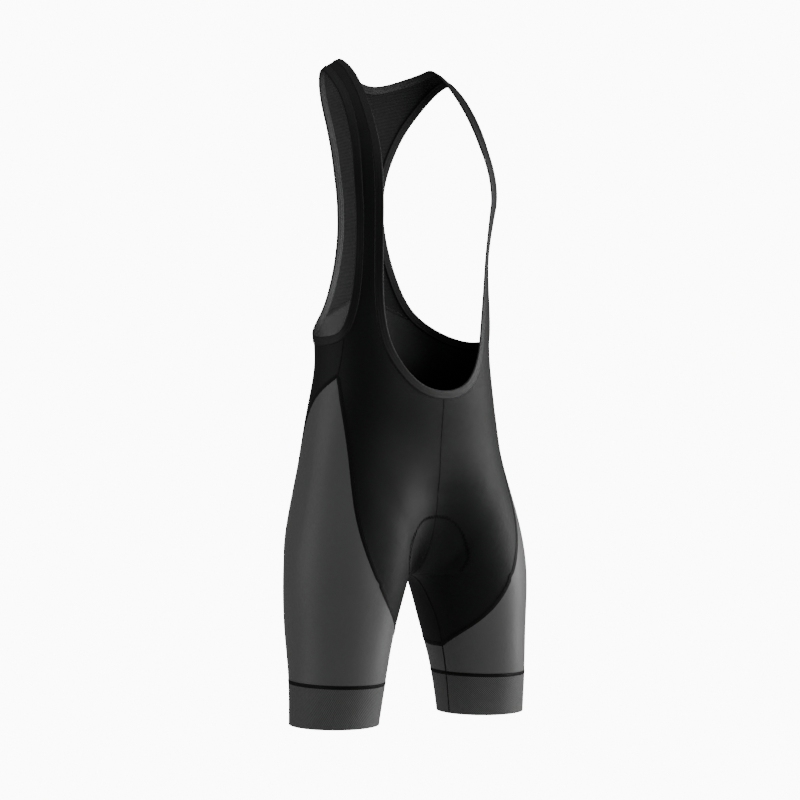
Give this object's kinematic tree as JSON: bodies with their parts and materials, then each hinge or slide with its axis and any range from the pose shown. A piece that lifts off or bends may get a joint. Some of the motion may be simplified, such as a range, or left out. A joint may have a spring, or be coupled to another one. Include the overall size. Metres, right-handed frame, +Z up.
{
  "type": "cycling bib shorts",
  "caption": "Cycling bib shorts filled out as worn: hollow torso and leg tubes, racerback straps, deep scooped front, bound edges and a seat pad.",
  "frame": {"origin": "midway between the tops of the two shoulder straps, where the wearer's shoulders hold the garment up", "axes": "+Z up, front facing -Y, the wearer's left at +X"},
  "size_m": [0.3558, 0.208, 0.8842],
  "materials": {
    "black_lycra": "smooth knitted lycra, soft sheen",
    "grey_lycra": "smooth knitted lycra, soft sheen",
    "mesh": "fine ribbed open mesh",
    "gripper": "textured elastic gripper band",
    "binding": "folded elastic binding, matt",
    "pad": "brushed foam-backed chamois"
  },
  "bodies": {
    "root": {"front_left": "black_lycra", "front_right": "black_lycra", "back_left": "black_lycra", "back_right": "black_lycra", "back_mesh": "mesh", "leg_left": "grey_lycra", "leg_right": "grey_lycra", "cuff_left": "gripper", "cuff_right": "gripper", "neck_binding": "binding", "armhole_binding_left": "binding", "armhole_binding_right": "binding", "seat_pad": "pad"}
  },
  "joints": []
}
